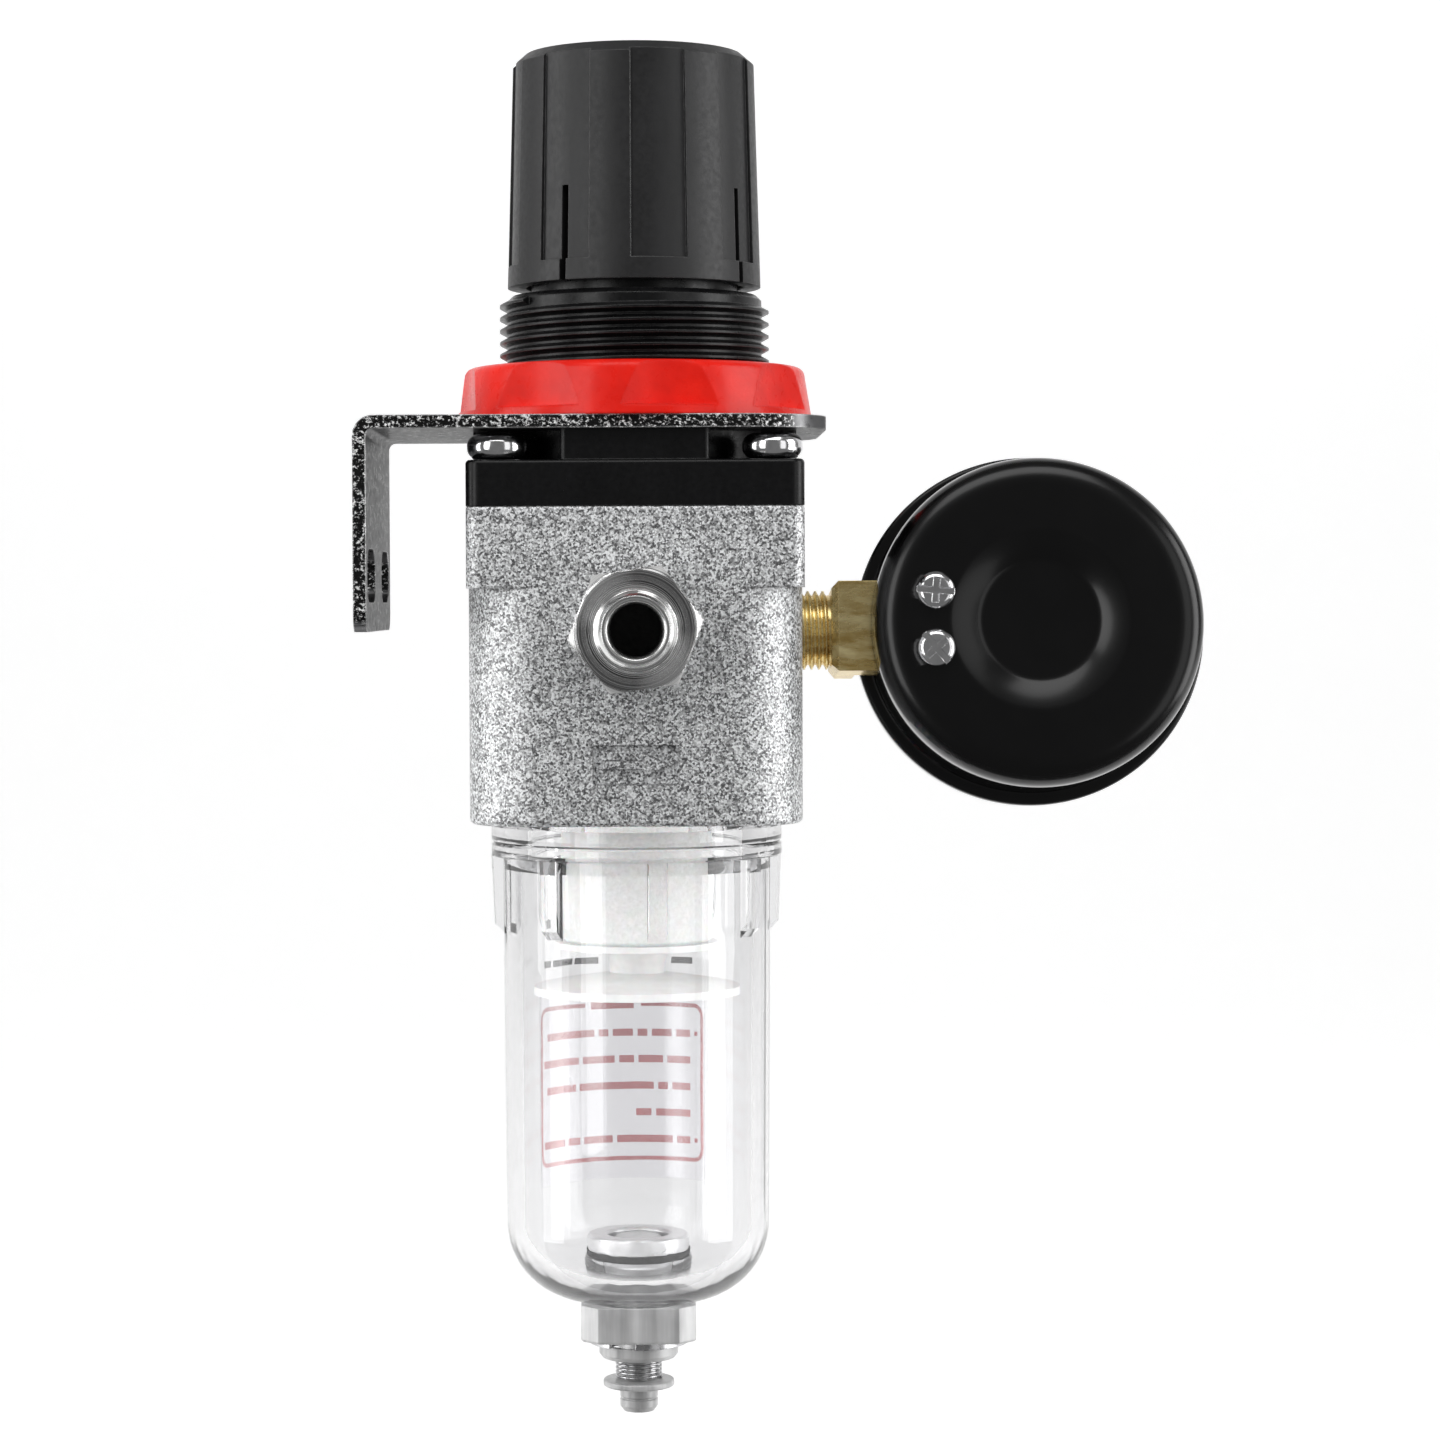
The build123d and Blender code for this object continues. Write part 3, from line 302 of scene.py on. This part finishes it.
def clear(name, tint, ior, milk, rough, wave):
    """Clear moulding, with a little milkiness from age and waves of so many mm."""
    s = Shade(name, Base_Color=tint, IOR=ior, Transmission_Weight=1.0 - milk)
    s.set("Roughness", s.remap(s.noise(200, 2.0), 0.3, 0.7, rough * 0.6, rough * 1.4))
    return s.bump(s.noise(110, 2.0), wave * MM, 0.5).lets_lamps_through(tint).m


def soft(name, dark, light, rough, scale, grain, edge=0.15, sub=0.0, painted_glow=0.0):
    """Plain matt stuff: plastic, rubber, felt or ink, mottled between two colours, with a painted glow that stands
    in for light reaching it.
    """
    s = Shade(name, Subsurface_Weight=sub, Subsurface_Scale=0.002)
    n = s.noise(scale, 4.0, 0.65)
    s.colour(s.remap(n, 0.3, 0.7, 0, 1), dark, light)
    s.set("Roughness", s.remap(n, 0.3, 0.7, rough + 0.06, rough - 0.06))
    # painted glow: emission in the lighter colour, as if the part were lit
    s.set("Emission Color", light).set("Emission Strength", painted_glow)
    return s.bump(n, grain * MM, 0.7, edge * MM).m


M = {
    "cast": cast_silver(),
    # the last colour of each black plastic is its painted edge highlight
    "bonnet": black_plastic("bonnet_black", 0.30, 0.006 * MM, (0.0018, 0.0018, 0.002), 0.28,
                            (0.10, 0.10, 0.10)),
    "knob": black_plastic("knob_black", 0.44, 0.015 * MM, (0.006, 0.006, 0.0064), 0.42,
                          (0.16, 0.16, 0.16)),
    "red": red_plastic(),
    "zinc": zinc_sheet(),
    "chrome": metal("screw_chrome", (0.70, 0.70, 0.71), (0.86, 0.86, 0.87), 0.13, 0.05, 0.006, 700),
    "nickel": turned_nickel(),
    "steel": metal("plain_steel", (0.46, 0.46, 0.47), (0.68, 0.68, 0.69), 0.28, 0.08, 0.01, 900),
    "wire": metal("spring_wire", (0.34, 0.34, 0.35), (0.62, 0.62, 0.63), 0.25, 0.08, 0.01, 1500),
    "brass": metal("brass", (0.64, 0.44, 0.14), (1.0, 0.84, 0.44), 0.28, 0.09, 0.02, 700,
                   (0.25, 1, 1), 0.15, 0.09, 0.8),
    "drain": metal("drain_metal", (0.34, 0.34, 0.342), (0.76, 0.76, 0.76), 0.38, 0.08, 0.03, 380,
                   (1, 1, 0.06), 0.2, 0.16, 0.3),
    "bush": metal("drain_bush", (0.74, 0.74, 0.745), (0.90, 0.90, 0.90), 0.34, 0.08, 0.01, 800),
    "gauge": gloss_paint(),
    "dial": soft("dial_white", (0.80, 0.80, 0.79), (0.88, 0.88, 0.87), 0.45, 400, 0.004),
    "ink": soft("dial_ink", (0.012, 0.012, 0.012), (0.03, 0.03, 0.03), 0.5, 900, 0.003),
    "rubber": soft("rubber", (0.010, 0.010, 0.010), (0.028, 0.028, 0.028), 0.6, 900, 0.02),
    # the filter and white plastic inside the bowl get a painted glow, to look lit through the bowl
    "filter": soft("filter_white", (0.72, 0.72, 0.70), (0.90, 0.90, 0.89), 0.85, 2200, 0.12, 0.3, 0.3),
    "white": soft("white_plastic", (0.76, 0.76, 0.75), (0.88, 0.88, 0.87), 0.42, 700, 0.01, 0.2, 0.2),
    "bowl": clear("bowl_clear", (0.86, 0.86, 0.865), 1.50, 0.03, 0.012, 0.03),
    "film": clear("label_film", (0.95, 0.94, 0.965), 1.45, 0.05, 0.2, 0.005),
    "lens": clear("lens_clear", (0.985, 0.99, 0.99), 1.49, 0.0, 0.01, 0.01),
    # the label's print gets a painted glow, as if lit from behind
    "red_ink": soft("label_red", (0.55, 0.03, 0.03), (0.68, 0.05, 0.05), 0.5, 900, 0.002, painted_glow=0.1),
}

LOOKS = {
    "cast": ["body"],
    "bonnet": ["bonnet"],
    "knob": ["knob"],
    "red": ["panel_nut"],
    "zinc": ["bracket"],
    "chrome": ["bonnet_screws", "gauge_case_screws"],
    "nickel": ["inlet_nipple"],
    "steel": ["adjusting_screw", "spring_seat", "relief_washer", "port_plug", "dial_screws",
              "screw_retainer", "drain_clip"],
    "wire": ["range_spring", "valve_spring", "drain_spring"],
    "brass": ["diaphragm_plate", "valve_stem", "gauge_stem", "bourdon_tube", "movement_frame",
              "sector_gear"],
    "bush": ["drain_bush"],
    "drain": ["drain_nut", "drain_cap", "drain_stem", "drain_push_ring"],
    "gauge": ["gauge_case"],
    "dial": ["gauge_dial"],
    "ink": ["pointer"],
    "rubber": ["diaphragm", "valve_seal", "bowl_seal", "drain_gasket", "drain_seal"],
    "filter": ["filter_element"],
    "white": ["valve_guide", "swirl_ring", "baffle"],
    "bowl": ["bowl"],
    "film": ["bowl_label"],
    "lens": ["gauge_lens"],
}


def dress(obj, material):
    obj.data.materials.clear()
    obj.data.materials.append(material)


for look, names in LOOKS.items():
    for name in names:
        dress(frame["nodes"][name], M[look])


# ---- Mesh helpers: shapes are in mm in a local frame, then placed ----------------
def rounded(points, radius, steps=4):
    """A closed outline with its corners rounded, by one radius or one for each corner."""
    out, n = [], len(points)
    for i, corner in enumerate(points):
        a, b, c = (Vector(p) for p in (points[i - 1], corner, points[(i + 1) % n]))
        r = radius[i] if isinstance(radius, (list, tuple)) else radius
        u, v = (a - b).normalized(), (c - b).normalized()
        half = u.angle(v, pi) / 2
        if r < 1e-6 or half > radians(88):
            out.append(tuple(b))
            continue
        tangent = r / max(1e-6, abs(sin(half) / cos(half)))
        reach = min(tangent, 0.48 * (a - b).length, 0.48 * (c - b).length)
        start, end = b + u * reach, b + v * reach
        for k in range(steps + 1):
            t = k / steps
            out.append(tuple(start * (1 - t) ** 2 + b * 2 * t * (1 - t) + end * t * t))
    return out


def rings(rows):
    """Quads between successive rings of points, and from the last ring to the first."""
    bm = bmesh.new()
    vs = [[bm.verts.new(p) for p in ring] for ring in rows]
    for a, b in zip(vs, vs[1:] + vs[:1]):
        for i in range(len(a)):
            j = (i + 1) % len(a)
            bm.faces.new((a[i], a[j], b[j], b[i]))
    return bm


def lathe(outline, n):
    """A closed outline of (radius, height) turned about z in n steps. A radius may depend on the angle."""
    rows = []
    for r, z in outline:
        ring = []
        for i in range(n):
            t = 2 * pi * i / n
            q = r(t) if callable(r) else max(r, 0.0)
            ring.append((q * cos(t), q * sin(t), z))
        rows.append(ring)
    bm = rings(rows)
    bmesh.ops.remove_doubles(bm, verts=bm.verts, dist=1e-5)
    bmesh.ops.dissolve_degenerate(bm, edges=bm.edges, dist=1e-6)
    return bm


def piece(name, bm, place, body, material, crease=38, replaces=()):
    """Place a mesh made in mm, smooth it up to the crease angle and put it on its body."""
    bmesh.ops.recalc_face_normals(bm, faces=bm.faces)
    for f in bm.faces:
        f.smooth = True
    for e in bm.edges:
        e.smooth = len(e.link_faces) == 2 and e.calc_face_angle(0) < radians(crease)
    mesh = bpy.data.meshes.new(name)
    bm.to_mesh(mesh)
    bm.free()
    mesh.transform(place @ Matrix.Scale(MM, 4))
    o = bpy.data.objects.new(name, mesh)
    bpy.context.scene.collection.objects.link(o)
    dress(o, material)
    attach(o, body)
    if replaces:
        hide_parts(*replaces)
    return o


# ---- Inlet nipple: hexagon with a turned chamfer, then a pipe thread -----------------
def inlet_nipple():
    flat, turned, corner = 7.0, radians(8), 8.09      # half across flats, its turn, its corners
    crest, root, pitch = 4.86, 4.25, 0.907            # thread, with 28 turns to the inch
    first, last, tip = 6.4, 15.0, 16.0                # where the thread runs, and the end

    def hexagon(limit):
        return lambda t: min(limit, flat / cos(((t - turned) % (pi / 3)) - pi / 6))

    def screw(z, depth):
        def radius(t):
            phase = (z / pitch - t / (2 * pi)) % 1.0
            return root + (crest - root) * depth * (1 - abs(2 * phase - 1)) ** 0.8
        return radius

    rows = [(3.0, -9.9), (6.0, -9.9), (6.5, -9.4), (6.5, 0.02), (hexagon(7.6), 0.02),
            (hexagon(corner), 0.3)]
    for d in (0.0, 0.25, 0.5, 0.75, 0.92):
        rows.append((hexagon(corner - 0.02 - d * 1.05), 5.15 + d * 0.85))
    rows += [(6.85, 6.0), (6.6, 6.0), (5.2, 5.96), (4.6, 6.0), (4.3, 6.2)]
    z = first
    while z < last:
        rows.append((screw(z, min(1.0, (z - 6.2) / 0.8, (16.2 - z) / 1.2)), z))
        z += pitch / 12
    rows += [(root, 15.2), (3.95, tip - 0.03), (3.9, tip)]
    rows += [(3.42, tip), (3.35, tip - 0.04), (3.02, 15.4), (3.0, 15.3)]
    bm = lathe(rows, 180)
    piece("inlet_nipple_detail", bm, FRONT, "housing", M["nickel"], 30, ["inlet_nipple"])


# ---- Printing: dial, label and bowl marks ---------------------------------------------
def bar(bm, at, points, lift):
    """One strip through stations of (x, y, half width in x and y), laid on a surface function."""
    last = None
    for x, y, dx, dy in points:
        a, b = bm.verts.new(at(x - dx, y - dy, lift)), bm.verts.new(at(x + dx, y + dy, lift))
        if last:
            bm.faces.new((last[0], last[1], b, a))
        last = (a, b)


def dial_print():
    """A plain scale of 0 to 10 over 270 degrees, with a second, finer arc inside it."""
    face = 1.42                      # just over the dial
    scale_r, inner_r, figure_r = 16.8, 9.0, 12.4
    bm = bmesh.new()

    def flat(x, y, lift):
        return (x, y, face + lift)

    def tick(angle, inner, outer, half):
        c, k = cos(angle), sin(angle)
        bar(bm, flat, [(r * c, r * k, -half * k, half * c) for r in (inner, outer)], 0)

    def arc(radius, half, a0, a1, steps=90):
        for i in range(steps):
            ends = [a0 + (a1 - a0) * (i + j) / steps for j in (0, 1)]
            stations = [(radius * cos(t), radius * sin(t), half * cos(t), half * sin(t)) for t in ends]
            bar(bm, flat, stations, 0)

    def at(value):
        return radians(-45 - 270 * value)

    for i in range(51):
        fifth, tenth = i % 5 == 0, i % 10 == 0
        tick(at(i / 50), 14.2 if tenth else 14.6 if fifth else 15.6, scale_r, 0.17 if fifth else 0.07)
    arc(scale_r, 0.08, at(0), at(1))
    arc(inner_r, 0.06, at(0), at(1))
    for i in range(31):
        tick(at(i / 30), inner_r, 10.0 if i % 5 == 0 else 9.6, 0.06)
    for number in range(0, 11, 2):
        curve = bpy.data.curves.new("figure", "FONT")
        curve.body = str(number)
        curve.size = 2.5
        curve.align_x = "CENTER"
        curve.align_y = "CENTER"
        o = bpy.data.objects.new("figure", curve)
        bpy.context.scene.collection.objects.link(o)
        bpy.context.view_layer.update()
        mesh = bpy.data.meshes.new_from_object(o)
        a = at(number / 10)
        spot = Matrix.Translation((figure_r * cos(a), figure_r * sin(a), face))
        mesh.transform(spot @ Matrix.Rotation(radians(90), 4, "Z"))
        bm.from_mesh(mesh)
        bpy.data.objects.remove(o)
    piece("dial_print", bm, GAUGE, "housing", M["ink"])


def wall(level):
    """Outer radius of the bowl's wall, which tapers by 0.3 mm downwards from its collar."""
    collar_r, collar, straight = 16.5, -27.8, 45.4
    return collar_r - 0.3 * (collar - level) / straight


def far_side(x, level, lift):
    """A point on the back of the bowl, x mm across from the axis along the surface."""
    r = wall(level) + lift
    return (r * sin(x / r), r * cos(x / r), level)


def label_print():
    """The label's border and rows of plain bars, and the bars printed on the bowl above it."""
    on_film = 0.155                  # just over the label
    bm = bmesh.new()

    def line(x0, l0, x1, l1, half, steps=24):
        n = max(1, int(steps * abs(x1 - x0) / 20) + 1)
        along = abs(x1 - x0) > abs(l1 - l0)
        dx, dy = (0, half) if along else (half, 0)
        stations = [(x0 + (x1 - x0) * i / n, l0 + (l1 - l0) * i / n, dx, dy) for i in range(n + 1)]
        bar(bm, far_side, stations, on_film)

    left, right, top, foot, r = -16.8, 9.8, -48.0, -67.7, 1.4
    thin = 0.26
    line(left + r, foot, right - r, foot, thin)
    line(left + r, top, -7.7, top, thin)
    line(0.5, top, right - r, top, thin)
    line(left, top - r, left, foot + r, thin)
    line(right, top - r, right, foot + r, thin)
    for cx, cy, a0 in ((right - r, top - r, 0), (left + r, top - r, 90),
                       (left + r, foot + r, 180), (right - r, foot + r, 270)):
        pts = []
        for k in range(7):
            a = radians(a0 + 15 * k)
            pts.append((cx + r * cos(a), cy + r * sin(a), thin * cos(a), thin * sin(a)))
        bar(bm, far_side, pts, on_film)
    line(-6.8, top, -0.5, top, 0.55)
    rows = [                         # level, a dot before it, lengths of its bars
        (-51.6, True, (2.2, 2.9, 1.4, 2.9, 1.4, 9.0)),
        (-55.0, False, (3.5, 3.5, 2.1, 4.9, 9.0)),
        (-58.4, False, (2.8, 1.4, 11.0, 6.0)),
        (-61.8, False, (5.2, 2.2)),
        (-65.2, True, (2.1, 8.0, 4.4, 2.1, 6.0)),
    ]
    for level, dot, words in rows:
        if dot:
            line(8.5, level, 9.05, level, 0.28)
        x = 7.8
        for w in words:
            end = max(x - w, left + 0.7)
            if end < x:
                line(end, level, x, level, 0.46)
            x -= w + 0.65
    piece("label_print", bm, REGULATOR, "bowl", M["red_ink"])
    bm = bmesh.new()
    mark_level = -42.3
    for x0, x1 in ((-15.9, -14.2), (-13.7, -10.0), (-9.6, -5.6), (4.8, 8.2)):
        pts = [(x0 + (x1 - x0) * i / 8, mark_level, 0, 0.42) for i in range(9)]
        bar(bm, far_side, pts, 0.02)
    piece("bowl_marks", bm, REGULATOR, "bowl", M["ink"])


# ---- Gauge shell: pressed back with a dish, rolled lip, square hole for the stem ---------
def gauge_shell():
    case_r, bore_r, lip_r = 20.0, 19.0, 21.6
    back, inside, lip_low, lip_high = -12.0, -11.0, 1.5, 4.0
    screw_x, screw_y, screw_r = 12.65, 3.45, 1.3
    outline = [(0.0, -10.75), (4.0, -10.75), (7.2, -10.8), (8.8, -11.55), (10.9, back),
               (case_r, back), (case_r, lip_low), (lip_r, lip_low), (lip_r, lip_high),
               (bore_r, lip_high), (bore_r, inside), (11.2, inside), (7.0, -9.8), (0.0, -9.75)]
    soften = [0, 0, 2.2, 0, 3.0, 3.6, 0.35, 0.6, 0.4, 0.3, 2.6, 1.0, 2.0, 0]
    bm = lathe(rounded(outline, soften, 9), 256)
    shell = piece("gauge_shell", bm, GAUGE, "housing", M["gauge"], 50, ["gauge_case"])
    bm = bmesh.new()
    stem_hole = Matrix.Translation((19.5, 0, -2.3)) @ Matrix.Diagonal((6, 11.5, 6.9, 1))
    bmesh.ops.create_cube(bm, size=1.0, matrix=stem_hole)
    for y in (-screw_y, screw_y):
        bmesh.ops.create_cone(bm, cap_ends=True, segments=32, radius1=screw_r, radius2=screw_r,
                              depth=4, matrix=Matrix.Translation((screw_x, y, -11.5)))
    cut(shell, bm, GAUGE)


def cut(obj, bm, place):
    """Take a tool shape out of a piece for good."""
    mesh = bpy.data.meshes.new("tool")
    bm.to_mesh(mesh)
    bm.free()
    mesh.transform(place @ Matrix.Scale(MM, 4))
    tool = bpy.data.objects.new("tool", mesh)
    bpy.context.scene.collection.objects.link(tool)
    m = obj.modifiers.new("cut", "BOOLEAN")
    m.object = tool
    m.operation = "DIFFERENCE"
    m.solver = "EXACT"
    bpy.context.view_layer.update()
    done = bpy.data.meshes.new_from_object(obj.evaluated_get(bpy.context.evaluated_depsgraph_get()))
    obj.modifiers.clear()
    obj.data = done
    bpy.data.objects.remove(tool)


gauge_shell()
inlet_nipple()
dial_print()
label_print()

# ---- Studio -----------------------------------------------------------------------
def floor_and_back():
    """A pale floor that starts under the object and curves up into a backdrop behind it."""
    bm = bmesh.new()
    ground, back, bend = cad_box[0][2] - 0.06, 1.3, 0.5
    line = [(0.0, ground), (back - bend, ground)]
    line += [(back - bend + bend * sin(a), ground + bend - bend * cos(a))
             for a in (i * pi / 32 for i in range(1, 17))]
    line.append((back, 3.0))
    rows = [[bm.verts.new((x, y, z)) for y, z in line] for x in (-3.0, 3.0)]
    for a, b, c, d in zip(rows[0], rows[0][1:], rows[1], rows[1][1:]):
        bm.faces.new((a, c, d, b)).smooth = True
    mesh = bpy.data.meshes.new("floor")
    bm.to_mesh(mesh)
    floor = bpy.data.objects.new("floor", mesh)
    bpy.context.scene.collection.objects.link(floor)
    s = Shade("floor_pale", Roughness=0.85, Emission_Color=(1.0, 1.0, 1.0), Emission_Strength=0.42)
    s.colour(s.noise(8, 3.0), (0.86, 0.86, 0.86), (0.88, 0.88, 0.88))
    dress(floor, s.m)


def softbox(name, at, size, power, aim=(0.0434, 0, -0.01)):
    """A rectangular lamp in watts, turned to the middle of the object."""
    light = bpy.data.lights.new(name, "AREA")
    light.shape = "RECTANGLE"
    light.size, light.size_y = size
    light.energy = power
    o = bpy.data.objects.new(name, light)
    bpy.context.scene.collection.objects.link(o)
    o.location = at
    o.rotation_euler = (Vector(aim) - Vector(at)).to_track_quat("-Z", "Y").to_euler()


floor_and_back()
softbox("key_left", (-0.57, -0.74, 0.16), (0.35, 0.8), 2.9)
softbox("side_left", (-0.95, -0.16, 0.12), (0.5, 1.0), 5.0)
softbox("side_right", (1.0, -0.22, 0.12), (0.5, 1.0), 6.3)
softbox("overhead", (0.02, -0.55, 0.85), (0.9, 0.5), 4.2)
softbox("fill_right", (0.62, -0.70, 0.10), (0.35, 0.8), 0.9)


def surroundings(seen_as, lights_by):
    """White all round: one level where it is looked at, also through plastic, and a dim one as light."""
    world = bpy.context.scene.world or bpy.data.worlds.new("world")
    bpy.context.scene.world = world
    world.use_nodes = True
    sky = world.node_tree
    path = sky.nodes.new("ShaderNodeLightPath")
    seen = sky.nodes.new("ShaderNodeMath")
    seen.operation = "MAXIMUM"
    sky.links.new(path.outputs["Is Camera Ray"], seen.inputs[0])
    sky.links.new(path.outputs["Is Transmission Ray"], seen.inputs[1])
    level = sky.nodes.new("ShaderNodeMapRange")
    level.inputs["To Min"].default_value = lights_by
    level.inputs["To Max"].default_value = seen_as
    sky.links.new(seen.outputs[0], level.inputs["Value"])
    sky.links.new(level.outputs[0], sky.nodes["Background"].inputs["Strength"])
    sky.nodes["Background"].inputs["Color"].default_value = (1, 1, 1, 1)


def main_camera():
    """Level with the ports and square to them, aimed a little down, the gauge in the right half."""
    distance, above_ports = 450 * MM, 3.1 * MM
    down, roll = radians(1.833), radians(-0.25)
    camera = bpy.data.objects.new("camera", bpy.data.cameras.new("camera"))
    bpy.context.scene.collection.objects.link(camera)
    camera.data.sensor_width = 36.0
    camera.data.lens = 91.35
    camera.data.shift_x = 0.0583
    camera.data.clip_start = 0.01
    camera.location = (AX, -distance, PZ + above_ports)
    turn = Matrix.Rotation(radians(90) - down, 3, "X") @ Matrix.Rotation(roll, 3, "Z")
    camera.rotation_euler = turn.to_euler()
    bpy.context.scene.camera = camera


surroundings(seen_as=1.0, lights_by=0.17)
main_camera()
bpy.context.scene.view_settings.view_transform = "Standard"
